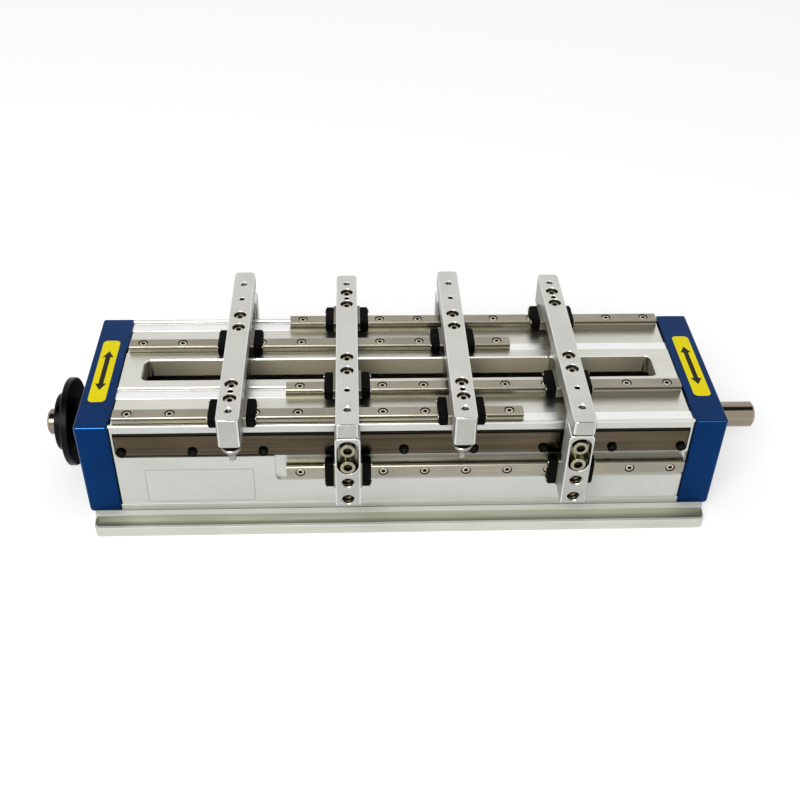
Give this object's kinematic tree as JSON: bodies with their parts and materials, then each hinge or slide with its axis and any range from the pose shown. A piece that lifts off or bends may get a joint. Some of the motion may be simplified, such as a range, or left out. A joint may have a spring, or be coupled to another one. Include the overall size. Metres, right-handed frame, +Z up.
{
  "type": "variable pitch slide module",
  "caption": "Slide module whose cross arms spread or close to an even pitch together, driven by a grooved drum cam on a cross-length shaft and carried on miniature guide rails.",
  "frame": {"origin": "centre of the base's underside", "axes": "+X along the module towards the plain shaft end, +Y to the rear, +Z up"},
  "size_m": [0.2736, 0.095, 0.0602],
  "materials": {
    "base_aluminium": "clear anodised",
    "body_aluminium": "clear anodised, ground rail seats",
    "blue_anodised": "blue anodised",
    "black_screw": "black oxide",
    "bearing_steel": "ground",
    "screw_steel": "stainless",
    "cover_steel": "polished",
    "shaft_steel": "ground",
    "cam_steel": "ground",
    "black_anodised": "black anodised",
    "rail_steel": "ground stainless",
    "arm_aluminium": "bead blasted, clear anodised",
    "cap_plastic": "moulded",
    "follower_steel": "milled",
    "roller_steel": "hardened, ground",
    "fitting_nickel": "nickel plated"
  },
  "bodies": {
    "frame": {"base": "base_aluminium", "body": "body_aluminium", "plate_left": "blue_anodised", "plate_right": "blue_anodised", "plate_screws": "black_screw", "bearing_left": "bearing_steel", "bearing_right": "bearing_steel", "rail_1": "rail_steel", "rail_2": "rail_steel", "rail_3": "rail_steel", "rail_4": "rail_steel", "rail_5": "rail_steel", "rail_6": "rail_steel", "rail_screws": "screw_steel", "cover_front": "cover_steel", "cover_rear": "cover_steel", "cover_screws": "black_screw"},
    "drum": {"shaft": "shaft_steel", "retaining_ring": "black_screw", "cam_drum": "cam_steel", "disc": "black_anodised", "grub_screws": "black_screw"},
    "slider_1": {"arm_1": "arm_aluminium", "leg_1": "arm_aluminium", "blocks_1": "rail_steel", "caps_1": "cap_plastic", "small_screws_1": "screw_steel", "leg_screws_1": "screw_steel", "follower_1": "follower_steel", "roller_1": "roller_steel", "fitting_1": "fitting_nickel"},
    "slider_2": {"arm_2": "arm_aluminium", "leg_2": "arm_aluminium", "blocks_2": "rail_steel", "caps_2": "cap_plastic", "small_screws_2": "screw_steel", "leg_screws_2": "screw_steel", "follower_2": "follower_steel", "roller_2": "roller_steel", "fitting_2": "fitting_nickel"},
    "slider_3": {"arm_3": "arm_aluminium", "leg_3": "arm_aluminium", "blocks_3": "rail_steel", "caps_3": "cap_plastic", "small_screws_3": "screw_steel", "leg_screws_3": "screw_steel", "follower_3": "follower_steel", "roller_3": "roller_steel", "fitting_3": "fitting_nickel"},
    "slider_4": {"arm_4": "arm_aluminium", "leg_4": "arm_aluminium", "blocks_4": "rail_steel", "caps_4": "cap_plastic", "small_screws_4": "screw_steel", "leg_screws_4": "screw_steel", "follower_4": "follower_steel", "roller_4": "roller_steel", "fitting_4": "fitting_nickel"}
  },
  "joints": [
    {"name": "drum_spin", "type": "hinge", "parent": "frame", "child": "drum", "pos_m": [0, 0, 0.0232], "axis": [1, 0, 0], "range_deg": [-197, 122.95]},
    {"name": "slide_1", "type": "slide", "parent": "frame", "child": "slider_1", "axis": [1, 0, 0], "range_m": [-0.02945, 0.04715]},
    {"name": "slide_2", "type": "slide", "parent": "frame", "child": "slider_2", "axis": [1, 0, 0], "range_m": [-0.00985, 0.01575]},
    {"name": "slide_3", "type": "slide", "parent": "frame", "child": "slider_3", "axis": [1, 0, 0], "range_m": [-0.01575, 0.00985]},
    {"name": "slide_4", "type": "slide", "parent": "frame", "child": "slider_4", "axis": [1, 0, 0], "range_m": [-0.04715, 0.02945]}
  ],
  "couplings": [
    {"joint": "slide_1", "follows": "drum_spin", "m_per_rad": -0.013697},
    {"joint": "slide_2", "follows": "drum_spin", "m_per_rad": -0.0045658},
    {"joint": "slide_3", "follows": "drum_spin", "m_per_rad": 0.0045658},
    {"joint": "slide_4", "follows": "drum_spin", "m_per_rad": 0.013697}
  ]
}
